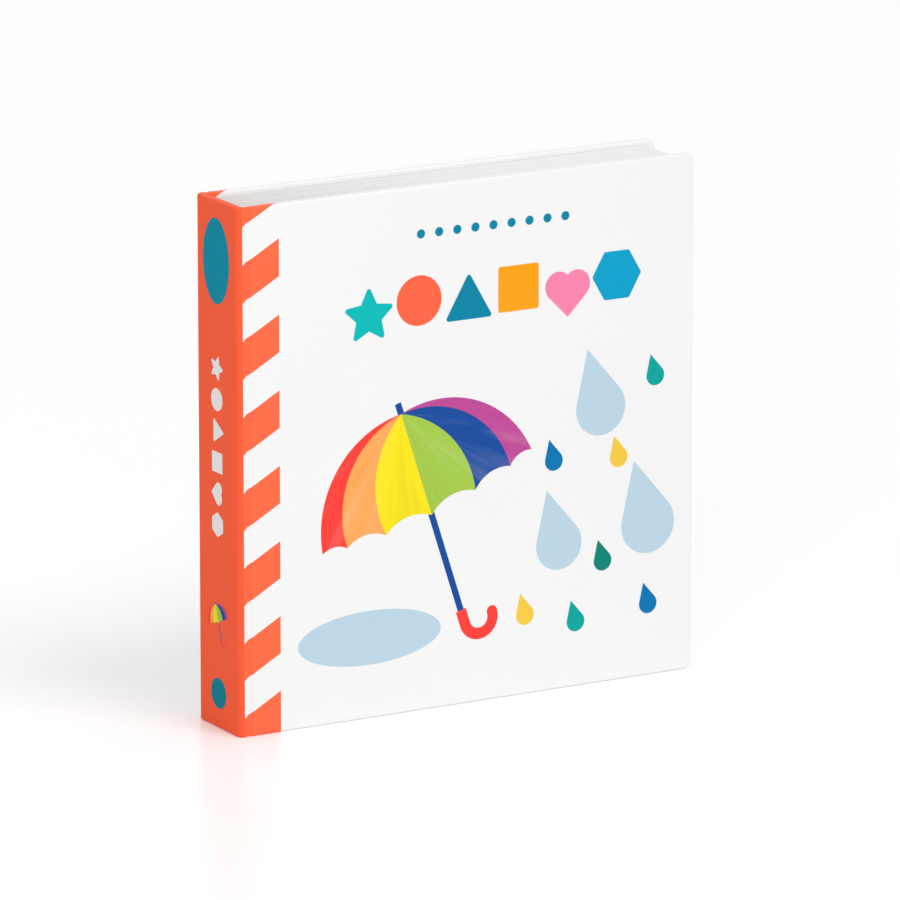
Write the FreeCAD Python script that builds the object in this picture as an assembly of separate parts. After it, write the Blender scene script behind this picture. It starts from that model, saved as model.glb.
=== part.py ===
import FreeCAD, Part
import math
import os
from FreeCAD import Vector

# A board book that stands closed on its tail edge. Millimetres. The front cover faces -Y,
# the spine faces -X, +Z is up, and the origin is the middle of the closed book's footprint.
# Along a cover, "s" is the distance from the spine's outer face. Depths go inwards from a
# cover's outer face. The back half is the front half mirrored, apart from its stripes, which sink
# away from the spine.

# Closed book
BOOK_HEIGHT = 145.0
BOOK_WIDTH = 141.4
BOOK_THICKNESS = 23.0

# Case: three boards in one printed sheet that is turned in over their edges
BOARD_THICKNESS = 1.8
SHEET_THICKNESS = 0.2
TURN_IN = 13.0
COVER_CORNER_RADIUS = 2.0
COVER_ARRIS_RADIUS = 0.55
SPINE_CORNER_RADIUS = 1.7
SPINE_BOARD_CHAMFER = 0.2

# Joint: the shallow groove between spine and cover, where the sheet has no board behind it
JOINT_WIDTH = 3.0
JOINT_DEPTH = 0.5
JOINT_BOTTOM = 1.35
JOINT_SHOULDER = 0.3
JOINT_ROUND = 0.9

# Endpapers: a pastedown inside each cover and a strip of it across the inner joint
ENDPAPER_THICKNESS = 0.2
ENDPAPER_MARGIN = 3.0
ENDPAPER_STEP_WIDTH = 0.6
COVER_CLEARANCE = 0.1

# Page block: thick leaves glued face to face
LEAF_COUNT = 7
HEAD_OVERHANG = 1.4
FORE_OVERHANG = 2.8
LEAF_GROOVE_WIDTH = 0.15
LEAF_GROOVE_DEPTH = 0.3
BLOCK_CORNER_RADIUS = 0.8

# Print: fields of colour as a film of ink on the sheet
INK = 0.05
STRIPE_END = 12.7
STRIPE_SLOPE = 0.56
STRIPE_PITCH = 20.69
STRIPE_HEIGHT = 10.31
STRIPE_FOOT = 1.27
BACK_STRIPE_FOOT = 9.3

# Cover size that the artwork below is drawn for. It is printed larger or smaller on another size
ART_WIDTH = 141.4
ART_HEIGHT = 145.0

# Row of six shapes and the line of dots above it, measured down from the head
ROW_START = 40.0
ROW_HEAD_DISTANCE = 32.5
ROW_PITCH = 15.4
ROW_SWAY = 1.3
SHAPE_ROUND = 0.7
STAR_REACH = 8.5
STAR_WAIST = 4.1
DISC_REACH = 6.9
TRIANGLE_REACH = 8.6
SQUARE_REACH = 8.9
HEXAGON_REACH = 7.7
HEART_LOBE = 4.1
DOT_COUNT = 9
DOT_START = 56.0
DOT_ROW_DISTANCE = 19.5
DOT_PITCH = 5.6
DOT_RADIUS = 1.25

# Umbrella: six panels between ribs, a shaft and a hooked grip
CANOPY_RADIUS = 34.0
CANOPY_RISE = 26.5
CANOPY_DROOP = 4.1
CANOPY_S = 58.0
CANOPY_Z = 58.0
UMBRELLA_TILT = 18.0
RIB_SPREAD = 72.0
RIB_BULGE = 50.0
HEM_CREST = 0.16
SHAFT_WIDTH = 1.9
SHAFT_LENGTH = 33.3
SHAFT_TIP = 3.2
GRIP_RADIUS = 4.4
GRIP_WIDTH = 3.2
PANEL_COLOURS = ("red", "orange", "yellow", "lime", "blue", "purple")

# Rain: (s, height of the drop's middle, height of the drop) for each drop
PALE_DROPS = ((111.0, 82.0, 25.0), (98.0, 45.0, 23.0), (126.0, 48.0, 27.0))
TEAL_DROPS = ((129.0, 86.0, 9.0), (104.0, 20.0, 9.0))
YELLOW_DROPS = ((117.5, 64.5, 9.0), (88.0, 24.0, 9.0))
BLUE_DROPS = ((97.0, 66.0, 9.0), (127.0, 22.0, 9.0))
GREEN_DROPS = ((112.5, 36.0, 9.0),)
RAIN_TILT = 14.0
DROP_ROUND = 0.31
PUDDLE_S = 40.0
PUDDLE_Z = 22.5
PUDDLE_LENGTH = 44.0
PUDDLE_WIDTH = 15.0

# Spine print
LABEL_HEAD_DISTANCE = 16.3
LABEL_WIDTH = 14.4
LABEL_HEIGHT = 23.4
SPINE_UMBRELLA_SCALE = 0.17
SPINE_UMBRELLA_Z = 30.0
SPINE_SHAPE_SCALE = 0.45
SPINE_SHAPE_PITCH = 8.6
SPINE_SHAPE_Z = 56.5
SPINE_DISC_RADIUS = 4.2
SPINE_DISC_Z = 9.8

# Worked out from the sizes above
SPINE_X = -BOOK_WIDTH / 2
FRONT_Y = -BOOK_THICKNESS / 2
CASE_THICKNESS = BOARD_THICKNESS + 2 * SHEET_THICKNESS
BOARD_INNER = SHEET_THICKNESS + BOARD_THICKNESS
SPINE_BEND = min(SPINE_CORNER_RADIUS, BOARD_INNER - SPINE_BOARD_CHAMFER - SHEET_THICKNESS / 4)
JOINT_START = SPINE_BEND
JOINT_END = JOINT_START + JOINT_WIDTH
BLOCK_DEPTH = CASE_THICKNESS + ENDPAPER_THICKNESS + COVER_CLEARANCE
BLOCK_START = CASE_THICKNESS
BLOCK_THICKNESS = BOOK_THICKNESS - 2 * BLOCK_DEPTH
TURN_IN_LEVEL = SHEET_THICKNESS + TURN_IN
BAR_REACH = 1.0
ART_SCALE = math.sqrt(BOOK_WIDTH * BOOK_HEIGHT / (ART_WIDTH * ART_HEIGHT))
ROW_Z = BOOK_HEIGHT / ART_SCALE - ROW_HEAD_DISTANCE
LABEL_Z = BOOK_HEIGHT / ART_SCALE - LABEL_HEAD_DISTANCE
TOLERANCE = 1e-6
UP = Vector(0, 0, 1)
ORIGIN = Vector(0, 0, 0)


def save(name, shape):
    """Writes one named piece as STEP."""
    shape.exportStep(os.path.join("parts", name + ".step"))
    print(f"{name}: {len(shape.Solids)} solid(s), {shape.Volume:.2f} mm3, valid {shape.isValid()}")


def joined(shapes):
    """Fuses shapes that touch or overlap, without seams between them."""
    return shapes[0].fuse(list(shapes[1:])).removeSplitter()


def mirrored(shape):
    """The back half's copy of a front piece."""
    return shape.mirror(ORIGIN, Vector(0, 1, 0))


def block_of(s0, s1, d0, d1, z0, z1):
    """A box from s0 to s1, from depth d0 to d1 under the front face, from z0 to z1."""
    corner = Vector(SPINE_X + s0, FRONT_Y + d0, z0)
    return Part.makeBox(s1 - s0, d1 - d0, z1 - z0, corner)


def flat_face(edges):
    """A face from edges that close in order."""
    return Part.Face(Part.Wire(edges))


def polygon_face(points):
    """A face with straight sides between the points."""
    return Part.Face(Part.makePolygon(list(points) + [points[0]]))


def edges_on(shape, test):
    """The edges whose two ends and middle all pass the test."""
    chosen = []
    for edge in shape.Edges:
        middle = edge.valueAt((edge.FirstParameter + edge.LastParameter) / 2)
        places = [vertex.Point for vertex in edge.Vertexes] + [middle]
        if all(test(place) for place in places):
            chosen.append(edge)
    return chosen


def rounded_path(points, radius):
    """Edges of a path in plan: straight runs with tangent arcs at its inner points."""
    edges = []
    start = points[0]
    for corner, following in zip(points[1:-1], points[2:]):
        back = (start - corner).normalize()
        ahead = (following - corner).normalize()
        half_turn = (math.pi - back.getAngle(ahead)) / 2
        reach = radius * math.tan(half_turn)
        arc_start = corner + back * reach
        arc_end = corner + ahead * reach
        towards_middle = (back + ahead).normalize()
        arc_middle = corner + towards_middle * (radius / math.cos(half_turn) - radius)
        if (arc_start - start).Length > TOLERANCE:
            edges.append(Part.LineSegment(start, arc_start).toShape())
        edges.append(Part.Arc(arc_start, arc_middle, arc_end).toShape())
        start = arc_end
    edges.append(Part.LineSegment(start, points[-1]).toShape())
    return edges


# Case


def cover_slab(s0, s1, d0, d1, z0, z1, corner_radius, arris_radius):
    """A flat slab with rounded fore corners and soft edges, square on its spine side."""
    y = FRONT_Y + d0
    left, right = SPINE_X + s0, SPINE_X + s1
    r = corner_radius
    slant = r * (1 - math.sqrt(0.5))
    arcs = [Part.Arc(Vector(right - r, y, z), Vector(right - slant, y, z + turn * slant),
                     Vector(right, y, z + turn * r)).toShape() for z, turn in ((z0, 1), (z1, -1))]
    outline = [
        Part.LineSegment(Vector(left, y, z0), Vector(right - r, y, z0)).toShape(),
        arcs[0],
        Part.LineSegment(Vector(right, y, z0 + r), Vector(right, y, z1 - r)).toShape(),
        arcs[1],
        Part.LineSegment(Vector(right - r, y, z1), Vector(left, y, z1)).toShape(),
        Part.LineSegment(Vector(left, y, z1), Vector(left, y, z0)).toShape(),
    ]
    slab = flat_face(outline).extrude(Vector(0, d1 - d0, 0))

    def on_arris(place):
        outer = abs(place.y - y) < TOLERANCE
        inner = abs(place.y - y - (d1 - d0)) < TOLERANCE
        return outer or inner

    spine_side = {edge.hashCode() for edge in edges_on(slab, lambda place: abs(place.x - left) < TOLERANCE)}
    arrises = [edge for edge in edges_on(slab, on_arris) if edge.hashCode() not in spine_side]
    return slab.makeFillet(arris_radius, arrises)


def cover_board():
    """The greyboard inside a cover."""
    return cover_slab(
        JOINT_END, BOOK_WIDTH - SHEET_THICKNESS, SHEET_THICKNESS, BOARD_INNER,
        SHEET_THICKNESS, BOOK_HEIGHT - SHEET_THICKNESS,
        COVER_CORNER_RADIUS - SHEET_THICKNESS, COVER_ARRIS_RADIUS - SHEET_THICKNESS,
    )


def turn_in_window(inset, d0, d1):
    """The space inside a cover that the turned-in sheet leaves bare, made smaller by inset."""
    return block_of(
        JOINT_END + inset, BOOK_WIDTH - TURN_IN_LEVEL - inset, d0, d1,
        TURN_IN_LEVEL + inset, BOOK_HEIGHT - TURN_IN_LEVEL - inset,
    )


def cover_wrap(board):
    """The printed sheet around a cover's board: outer face, three folds and the turn-ins."""
    outside = cover_slab(
        JOINT_END, BOOK_WIDTH, 0, CASE_THICKNESS, 0, BOOK_HEIGHT,
        COVER_CORNER_RADIUS, COVER_ARRIS_RADIUS,
    )
    return outside.cut(board).cut(turn_in_window(0, BOARD_INNER, CASE_THICKNESS))


def pastedown():
    """The endpaper glued inside a cover, which dips into the space between the turn-ins."""
    inner_level = CASE_THICKNESS + ENDPAPER_THICKNESS
    sheet = block_of(
        JOINT_END, BOOK_WIDTH - ENDPAPER_MARGIN, CASE_THICKNESS, inner_level,
        ENDPAPER_MARGIN, BOOK_HEIGHT - ENDPAPER_MARGIN,
    )
    border = sheet.cut(turn_in_window(ENDPAPER_STEP_WIDTH, CASE_THICKNESS, inner_level))
    return joined([turn_in_window(0, BOARD_INNER, CASE_THICKNESS), border])


def endpaper_strip():
    """The endpaper across the inner joint, from the page block's back edge to the pastedown."""
    return block_of(BLOCK_START, JOINT_END, CASE_THICKNESS, BLOCK_DEPTH, HEAD_OVERHANG + ENDPAPER_MARGIN,
                    BOOK_HEIGHT - HEAD_OVERHANG - ENDPAPER_MARGIN)


def joint_path():
    """The sheet's outer face across the front joint, seen from above."""
    stops = (
        (JOINT_START, 0.0),
        (JOINT_START + JOINT_SHOULDER, 0.0),
        (JOINT_START + JOINT_BOTTOM, JOINT_DEPTH),
        (JOINT_END - JOINT_SHOULDER, 0.0),
        (JOINT_END, 0.0),
    )
    return Part.Wire(rounded_path([Vector(SPINE_X + s, FRONT_Y + d, 0) for s, d in stops], JOINT_ROUND))


def layer(path, first, thickness):
    """The plan face between two depths under a path that runs away from the spine."""
    top = path.makeOffset2D(-first, 0, False, True) if first else path
    return top.makeOffset2D(-thickness, 0, True, True)


def joint_paper():
    """The sheet across a joint, doubled by its turn-ins at head and tail."""
    sheet = layer(joint_path(), 0, SHEET_THICKNESS).extrude(UP * BOOK_HEIGHT)
    turned = layer(joint_path(), SHEET_THICKNESS, SHEET_THICKNESS)
    tail = turned.extrude(UP * TURN_IN_LEVEL)
    head = tail.translated(UP * (BOOK_HEIGHT - TURN_IN_LEVEL))
    spine = spine_outside()
    return joined([sheet, tail.cut(spine), head.cut(spine)])


def spine_plan(inset):
    """The path around the spine at a depth under its outer face, from joint to joint."""
    r = SPINE_BEND - inset
    slant = r * (1 - math.sqrt(0.5))
    outer = SPINE_X + inset
    front, back = FRONT_Y + inset, -FRONT_Y - inset
    return [
        Part.Arc(Vector(outer + r, front, 0), Vector(outer + slant, front + slant, 0),
                 Vector(outer, front + r, 0)).toShape(),
        Part.LineSegment(Vector(outer, front + r, 0), Vector(outer, back - r, 0)).toShape(),
        Part.Arc(Vector(outer, back - r, 0), Vector(outer + slant, back - slant, 0),
                 Vector(outer + r, back, 0)).toShape(),
    ]


def runs_between(points):
    """Straight edges from point to point."""
    return [Part.LineSegment(start, end).toShape() for start, end in zip(points, points[1:])]


def spine_slab(inset, inner_corners):
    """A slab behind the spine's face with bent corners and soft rims.

    The inner corners are (s, depth) pairs from the joint inwards, the same at front and back.
    """
    path = spine_plan(inset)
    first, last = path[0].Vertexes[0].Point, path[-1].Vertexes[-1].Point
    height = UP * (BOOK_HEIGHT - 2 * inset)
    far = SPINE_X + JOINT_END
    sides = runs_between([last, Vector(far, last.y, 0), Vector(far, first.y, 0), first])
    whole = flat_face(path + sides).extrude(height)
    ends = edges_on(whole, lambda place: min(place.z, height.z - place.z) < TOLERANCE)
    rims = [edge for edge in ends if edge.BoundBox.XMin < far - TOLERANCE]
    whole = whole.makeFillet(COVER_ARRIS_RADIUS - inset, rims)
    back = [Vector(SPINE_X + s, -FRONT_Y - d, 0) for s, d in inner_corners]
    front = [Vector(SPINE_X + s, FRONT_Y + d, 0) for s, d in reversed(inner_corners)]
    outline = flat_face(path + runs_between([last] + back + front + [first]))
    return whole.common(outline.extrude(height)).translated(UP * inset)


def spine_board():
    """The greyboard in the spine, with soft corners that the sheet bends around."""
    chamfer = SPINE_BOARD_CHAMFER
    return spine_slab(SHEET_THICKNESS, [
        (BOARD_INNER - chamfer, SHEET_THICKNESS),
        (BOARD_INNER, SHEET_THICKNESS + chamfer),
    ])


def spine_outside():
    """The spine board with the sheet around it, as if the turn-ins ran on from head to tail."""
    chamfer = SPINE_BOARD_CHAMFER
    return spine_slab(0, [
        (SPINE_BEND, SHEET_THICKNESS),
        (BOARD_INNER - chamfer, SHEET_THICKNESS),
        (BOARD_INNER, SHEET_THICKNESS + chamfer),
        (CASE_THICKNESS, 2 * SHEET_THICKNESS + chamfer),
    ])


def spine_wrap(board):
    """The printed sheet around the spine board: outer face, folds and the turn-ins."""
    window = block_of(BOARD_INNER, CASE_THICKNESS, 0, BOOK_THICKNESS,
                      TURN_IN_LEVEL, BOOK_HEIGHT - TURN_IN_LEVEL)
    return spine_outside().cut(board).cut(window)


# Page block


def page_block():
    """The glued leaves as one solid, with a fine groove between neighbours on three edges."""
    s1 = BOOK_WIDTH - FORE_OVERHANG
    z1 = BOOK_HEIGHT - HEAD_OVERHANG
    block = block_of(BLOCK_START, s1, BLOCK_DEPTH, BOOK_THICKNESS - BLOCK_DEPTH, HEAD_OVERHANG, z1)
    fore = edges_on(block, lambda place: abs(place.x - SPINE_X - s1) < TOLERANCE)
    corners = [edge for edge in fore if abs(edge.tangentAt(edge.FirstParameter).y) > 1 - TOLERANCE]
    block = block.makeFillet(BLOCK_CORNER_RADIUS, corners)
    leaf = BLOCK_THICKNESS / LEAF_COUNT
    grooves = []
    for number in range(1, LEAF_COUNT):
        middle = BLOCK_DEPTH + number * leaf
        d0, d1 = middle - LEAF_GROOVE_WIDTH / 2, middle + LEAF_GROOVE_WIDTH / 2
        around = block_of(BLOCK_START, BOOK_WIDTH, d0, d1, 0, BOOK_HEIGHT)
        core = block_of(BLOCK_START, s1 - LEAF_GROOVE_DEPTH, d0, d1,
                        HEAD_OVERHANG + LEAF_GROOVE_DEPTH, z1 - LEAF_GROOVE_DEPTH)
        grooves.append(around.cut(core))
    return block.cut(grooves)


def spine_glue():
    """The glue between the page block and the spine board."""
    return block_of(BOARD_INNER, BLOCK_START, BLOCK_DEPTH, BOOK_THICKNESS - BLOCK_DEPTH,
                    TURN_IN_LEVEL, BOOK_HEIGHT - TURN_IN_LEVEL)


# Print. Each motif is a flat face around its own middle, in the XZ plane, seen with +X to the right.


def flat(u, v):
    """A point of a motif."""
    return Vector(u, 0, v)


def disc(radius):
    """A round field."""
    return Part.Face(Part.Wire(Part.makeCircle(radius, ORIGIN, Vector(0, -1, 0))))


def oval(width, height):
    """An ellipse of the given full width and height."""
    stretch = FreeCAD.Matrix()
    stretch.scale(width / 2, 1, height / 2)
    return disc(1.0).transformGeometry(stretch)


def spiky(count, radius, inner_radius, turn):
    """A polygon with points at the radius and, between them, corners at the inner radius."""
    points = []
    for number in range(2 * count):
        angle = math.radians(turn + 180.0 * number / count)
        reach = inner_radius if number % 2 else radius
        points.append(flat(reach * math.cos(angle), reach * math.sin(angle)))
    return polygon_face(points)


def regular(count, radius, turn):
    """A polygon with equal sides."""
    return spiky(count, radius, radius * math.cos(math.pi / count), turn)


def softened(face, radius):
    """The face with its outer corners rounded."""
    return face.makeOffset2D(-radius).makeOffset2D(radius)


def heart(lobe):
    """Two lobes of the given radius over a square that stands on its corner."""
    half = lobe * math.sqrt(2)
    square = polygon_face([flat(0, -half), flat(half, 0), flat(0, half), flat(-half, 0)])
    lobes = [disc(lobe).translated(flat(sign * half / 2, half / 2)) for sign in (-1, 1)]
    return joined([square] + lobes).translated(flat(0, -half / 4))


def drop(height):
    """A raindrop: a round foot with two straight flanks that meet in a point."""
    radius = height * DROP_ROUND
    reach = height - radius
    half_angle = math.acos(radius / reach)
    side = radius * math.sin(half_angle)
    shoulder = radius * math.cos(half_angle)
    foot = Part.Arc(flat(side, shoulder), flat(0, -radius), flat(-side, shoulder)).toShape()
    flanks = [Part.LineSegment(flat(-side, shoulder), flat(0, reach)).toShape(),
              Part.LineSegment(flat(0, reach), flat(side, shoulder)).toShape()]
    return flat_face([foot] + flanks).translated(flat(0, radius - height / 2))


def canopy_panels():
    """The six panels of an open umbrella seen from the side, left to right."""
    bulge = math.radians(RIB_BULGE)
    apex = flat(0, CANOPY_RISE)
    ribs = []
    for number in range(len(PANEL_COLOURS) + 1):
        angle = math.radians(RIB_SPREAD * (2 * number / len(PANEL_COLOURS) - 1))
        share = math.sin(angle) / math.sin(math.radians(RIB_SPREAD))
        foot = flat(share * CANOPY_RADIUS, -CANOPY_DROOP * (1 - share * share))
        knee = flat(foot.x * math.sin(bulge), foot.z + (CANOPY_RISE - foot.z) * math.cos(bulge))
        straight = abs(share) < TOLERANCE
        curve = Part.LineSegment(apex, foot) if straight else Part.Arc(apex, knee, foot)
        ribs.append((foot, curve))
    panels = []
    for (left_foot, left), (right_foot, right) in zip(ribs, ribs[1:]):
        crest = (left_foot + right_foot) * 0.5 + flat(0, (right_foot.x - left_foot.x) * HEM_CREST)
        hem = Part.Arc(left_foot, crest, right_foot)
        panels.append(flat_face([left.toShape(), hem.toShape(), right.toShape()]))
    return panels


def umbrella_shaft(panels):
    """The straight shaft under the canopy and its tip above it."""
    half = SHAFT_WIDTH / 2
    top = CANOPY_RISE + SHAFT_TIP
    corners = [flat(-half, -SHAFT_LENGTH), flat(half, -SHAFT_LENGTH), flat(half, top), flat(-half, top)]
    return polygon_face(corners).cut(panels)


def umbrella_grip():
    """The hooked grip that goes on from the shaft's end."""
    inner, outer = GRIP_RADIUS - GRIP_WIDTH / 2, GRIP_RADIUS + GRIP_WIDTH / 2
    rise = GRIP_RADIUS
    foot = Part.Arc(flat(-outer, 0), flat(0, -outer), flat(outer, 0)).toShape()
    end = Part.Arc(flat(outer, 0), flat(GRIP_RADIUS, GRIP_WIDTH / 2), flat(inner, 0)).toShape()
    hollow = Part.Arc(flat(inner, 0), flat(0, -inner), flat(-inner, 0)).toShape()
    corners = [flat(-inner, 0), flat(-inner, rise), flat(-outer, rise), flat(-outer, 0)]
    stem = Part.makePolygon(corners).Edges
    return flat_face([foot, end, hollow] + stem).translated(flat(GRIP_RADIUS, -SHAFT_LENGTH - rise))


def tilted(face, degrees):
    """The motif turned anticlockwise for the reader."""
    turned = face.copy()
    turned.rotate(ORIGIN, Vector(0, -1, 0), degrees)
    return turned


def on_front(face, s, z):
    """A motif as ink on the front cover, at a place of the artwork."""
    printed = face.translated(flat(s, z)).scaled(ART_SCALE, ORIGIN)
    return printed.translated(Vector(SPINE_X, FRONT_Y, 0)).extrude(Vector(0, -INK, 0))


def on_spine(face, share, z):
    """A motif at a share of its size, as ink on the middle of the spine."""
    printed = face.scaled(share, ORIGIN).translated(flat(0, z)).scaled(ART_SCALE, ORIGIN)
    printed.rotate(ORIGIN, UP, -90)
    return printed.translated(Vector(SPINE_X, 0, 0)).extrude(Vector(-INK, 0, 0))


def stripe_bars(slope, lowest):
    """Upright bars that hold every orange stripe between the spine and the white of a cover."""
    rise = slope * (STRIPE_END - JOINT_START)
    first = math.floor(-(lowest + STRIPE_HEIGHT + abs(rise)) / STRIPE_PITCH)
    last = math.ceil((BOOK_HEIGHT - lowest + abs(rise)) / STRIPE_PITCH)
    y = FRONT_Y - BAR_REACH
    left, right = SPINE_X + JOINT_START, SPINE_X + STRIPE_END
    zone = block_of(JOINT_START, STRIPE_END, -BAR_REACH, JOINT_DEPTH + BAR_REACH,
                    COVER_ARRIS_RADIUS, BOOK_HEIGHT - COVER_ARRIS_RADIUS)
    bars = []
    for number in range(first, last + 1):
        foot = lowest + number * STRIPE_PITCH
        corners = [Vector(left, y, foot - rise), Vector(right, y, foot),
                   Vector(right, y, foot + STRIPE_HEIGHT), Vector(left, y, foot + STRIPE_HEIGHT - rise)]
        bar = polygon_face(corners).extrude(Vector(0, JOINT_DEPTH + 2 * BAR_REACH, 0)).common(zone)
        if bar.Solids:
            bars.append(bar)
    return Part.makeCompound(bars)


def solids_of(shape):
    """The shape's solids as one group."""
    return Part.makeCompound(shape.Solids)


def cover_stripes(bars):
    """The stripes on the flat of a cover, from the joint to the white."""
    field = block_of(JOINT_END, STRIPE_END, -INK, 0, 0, BOOK_HEIGHT)
    return solids_of(field.common(bars))


def joint_stripes(bars):
    """The stripes down in a joint's groove."""
    field = layer(joint_path(), 0, -INK).extrude(UP * BOOK_HEIGHT)
    return solids_of(field.common(bars))


def row_shapes():
    """The six shapes of the row, with their names."""
    return (
        ("star", softened(spiky(5, STAR_REACH, STAR_WAIST, 90), SHAPE_ROUND)),
        ("disc", disc(DISC_REACH)),
        ("triangle", softened(regular(3, TRIANGLE_REACH, 90), SHAPE_ROUND)),
        ("square", softened(regular(4, SQUARE_REACH, 45), SHAPE_ROUND)),
        ("heart", heart(HEART_LOBE)),
        ("hexagon", softened(regular(6, HEXAGON_REACH, 0), SHAPE_ROUND)),
    )


def save_row():
    """The row of shapes and the line of dots on the front."""
    for number, (name, face) in enumerate(row_shapes()):
        sway = ROW_SWAY if number % 2 else -ROW_SWAY
        save("front_" + name, on_front(face, ROW_START + number * ROW_PITCH, ROW_Z + sway))
    dot = disc(DOT_RADIUS)
    line = ROW_Z + DOT_ROW_DISTANCE
    dots = [on_front(dot, DOT_START + number * DOT_PITCH, line) for number in range(DOT_COUNT)]
    save("front_dots", Part.makeCompound(dots))


def save_umbrella(prefix, place):
    """An umbrella's panels, shaft and grip, each as ink put in its place."""
    panels = canopy_panels()
    motifs = dict(zip(PANEL_COLOURS, panels), shaft=umbrella_shaft(panels), grip=umbrella_grip())
    for name, face in motifs.items():
        save(f"{prefix}_umbrella_{name}", place(tilted(face, UMBRELLA_TILT)))


def save_rain():
    """The puddle and the drops on the front, one group for each colour."""
    groups = (("pale", PALE_DROPS), ("teal", TEAL_DROPS), ("yellow", YELLOW_DROPS), ("blue", BLUE_DROPS),
              ("green", GREEN_DROPS))
    for colour, drops in groups:
        films = [on_front(tilted(drop(height), RAIN_TILT), s, z) for s, z, height in drops]
        save(f"front_drops_{colour}", Part.makeCompound(films))
    save("front_puddle", on_front(oval(PUDDLE_LENGTH, PUDDLE_WIDTH), PUDDLE_S, PUDDLE_Z))


def save_spine_print():
    """The label, the column of white shapes, the small umbrella and the disc at the foot."""
    save("spine_label", on_spine(oval(LABEL_WIDTH, LABEL_HEIGHT), 1, LABEL_Z))
    column = []
    for number, (name, face) in enumerate(reversed(row_shapes())):
        z = SPINE_SHAPE_Z + number * SPINE_SHAPE_PITCH
        column.append(on_spine(tilted(face, -90), SPINE_SHAPE_SCALE, z))
    save("spine_shapes", Part.makeCompound(column))
    save_umbrella("spine", lambda face: on_spine(face, SPINE_UMBRELLA_SCALE, SPINE_UMBRELLA_Z))
    save("spine_disc", on_spine(disc(SPINE_DISC_RADIUS), 1, SPINE_DISC_Z))


def save_case():
    """Boards, wraps, joints, endpapers and stripes, front and back."""
    back_of_spine = spine_board()
    board = cover_board()
    wrap = cover_wrap(board)
    paper = joint_paper()
    save("spine_board", back_of_spine)
    save("spine_wrap", spine_wrap(back_of_spine))
    pieces = {
        "board": board, "cover_wrap": wrap, "pastedown": pastedown(), "endpaper_strip": endpaper_strip(),
        "joint_paper": paper,
    }
    for name, shape in pieces.items():
        save("front_" + name, shape)
        save("back_" + name, mirrored(shape))
    front_bars = stripe_bars(STRIPE_SLOPE, STRIPE_FOOT)
    back_bars = stripe_bars(-STRIPE_SLOPE, BACK_STRIPE_FOOT)
    for name, film in (("cover_stripes", cover_stripes), ("joint_stripes", joint_stripes)):
        save("front_" + name, film(front_bars))
        save("back_" + name, mirrored(film(back_bars)))


os.makedirs("parts", exist_ok=True)
save("page_block", page_block())
save("spine_glue", spine_glue())
save_case()
save_row()
save_umbrella("front", lambda face: on_front(face, CANOPY_S, CANOPY_Z))
save_rain()
save_spine_print()
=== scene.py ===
"""A case-bound board book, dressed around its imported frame.

Lengths are metres. The book stands closed on its tail edge: the front cover faces -Y, the spine
faces -X and +Z is up. "s" is the distance from the spine's outer face along a cover, and "depth"
goes inwards from a cover's outer face.
"""
import logging
import math
from dataclasses import dataclass, field, replace
from enum import Enum
from typing import Any, Callable, Sequence

import bmesh
import bpy
from bmesh.types import BMesh, BMFace
from bpy.types import Light, Material, Node, NodeSocket, NodeTree, Object
from mathutils import Matrix, Vector


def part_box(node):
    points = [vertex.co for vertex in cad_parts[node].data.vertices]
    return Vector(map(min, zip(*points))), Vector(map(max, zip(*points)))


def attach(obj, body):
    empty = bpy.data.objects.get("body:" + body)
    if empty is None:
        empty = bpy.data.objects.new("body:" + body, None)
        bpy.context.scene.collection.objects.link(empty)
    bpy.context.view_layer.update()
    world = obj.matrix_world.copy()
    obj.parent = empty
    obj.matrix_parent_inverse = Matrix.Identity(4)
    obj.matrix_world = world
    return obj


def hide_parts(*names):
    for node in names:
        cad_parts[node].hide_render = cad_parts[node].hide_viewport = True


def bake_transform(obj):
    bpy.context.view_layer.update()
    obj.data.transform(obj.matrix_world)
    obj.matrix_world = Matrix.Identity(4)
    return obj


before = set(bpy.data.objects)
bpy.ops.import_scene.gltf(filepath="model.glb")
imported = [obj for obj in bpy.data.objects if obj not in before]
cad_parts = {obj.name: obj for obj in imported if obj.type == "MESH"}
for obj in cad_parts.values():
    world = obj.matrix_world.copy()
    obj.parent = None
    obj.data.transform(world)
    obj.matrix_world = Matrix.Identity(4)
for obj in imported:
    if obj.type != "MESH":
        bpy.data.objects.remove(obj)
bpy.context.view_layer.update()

LOG = logging.getLogger("board_book")
MM = 0.001
HAIR = 1e-7

Pair = tuple[float, float]
Triple = tuple[float, float, float]
Colour = Triple
Stop = tuple[float, Sequence[float]]
Links = dict[str, Any]


def linear(colour: Colour) -> tuple[float, float, float, float]:
    """Turn a colour as a screen shows it into the light that it stands for.

    Args:
        colour: Red, green and blue from 0 to 255.

    Returns:
        Linear red, green, blue and an alpha of 1.
    """
    parts = (part / 255 for part in colour)
    red, green, blue = (p / 12.92 if p < 0.04045 else ((p + 0.055) / 1.055) ** 2.4 for p in parts)
    return red, green, blue, 1.0


def toned(colour: Sequence[float], gain: float, lift: float = 0.0) -> tuple[float, ...]:
    """Make a linear colour darker or paler.

    Args:
        colour: Linear red, green, blue and alpha.
        gain: What each part is multiplied by.
        lift: The share of white mixed in afterwards.

    Returns:
        The new colour, with its alpha kept.
    """
    return tuple(part * gain * (1 - lift) + lift for part in colour[:3]) + (1.0,)


def placed(name: str, data: Any) -> Object:
    """Put something into the scene.

    Args:
        name: The object's name.
        data: Its mesh, light or camera.

    Returns:
        The object.
    """
    thing = bpy.data.objects.new(name, data)
    bpy.context.scene.collection.objects.link(thing)
    return thing


# Node trees


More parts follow.
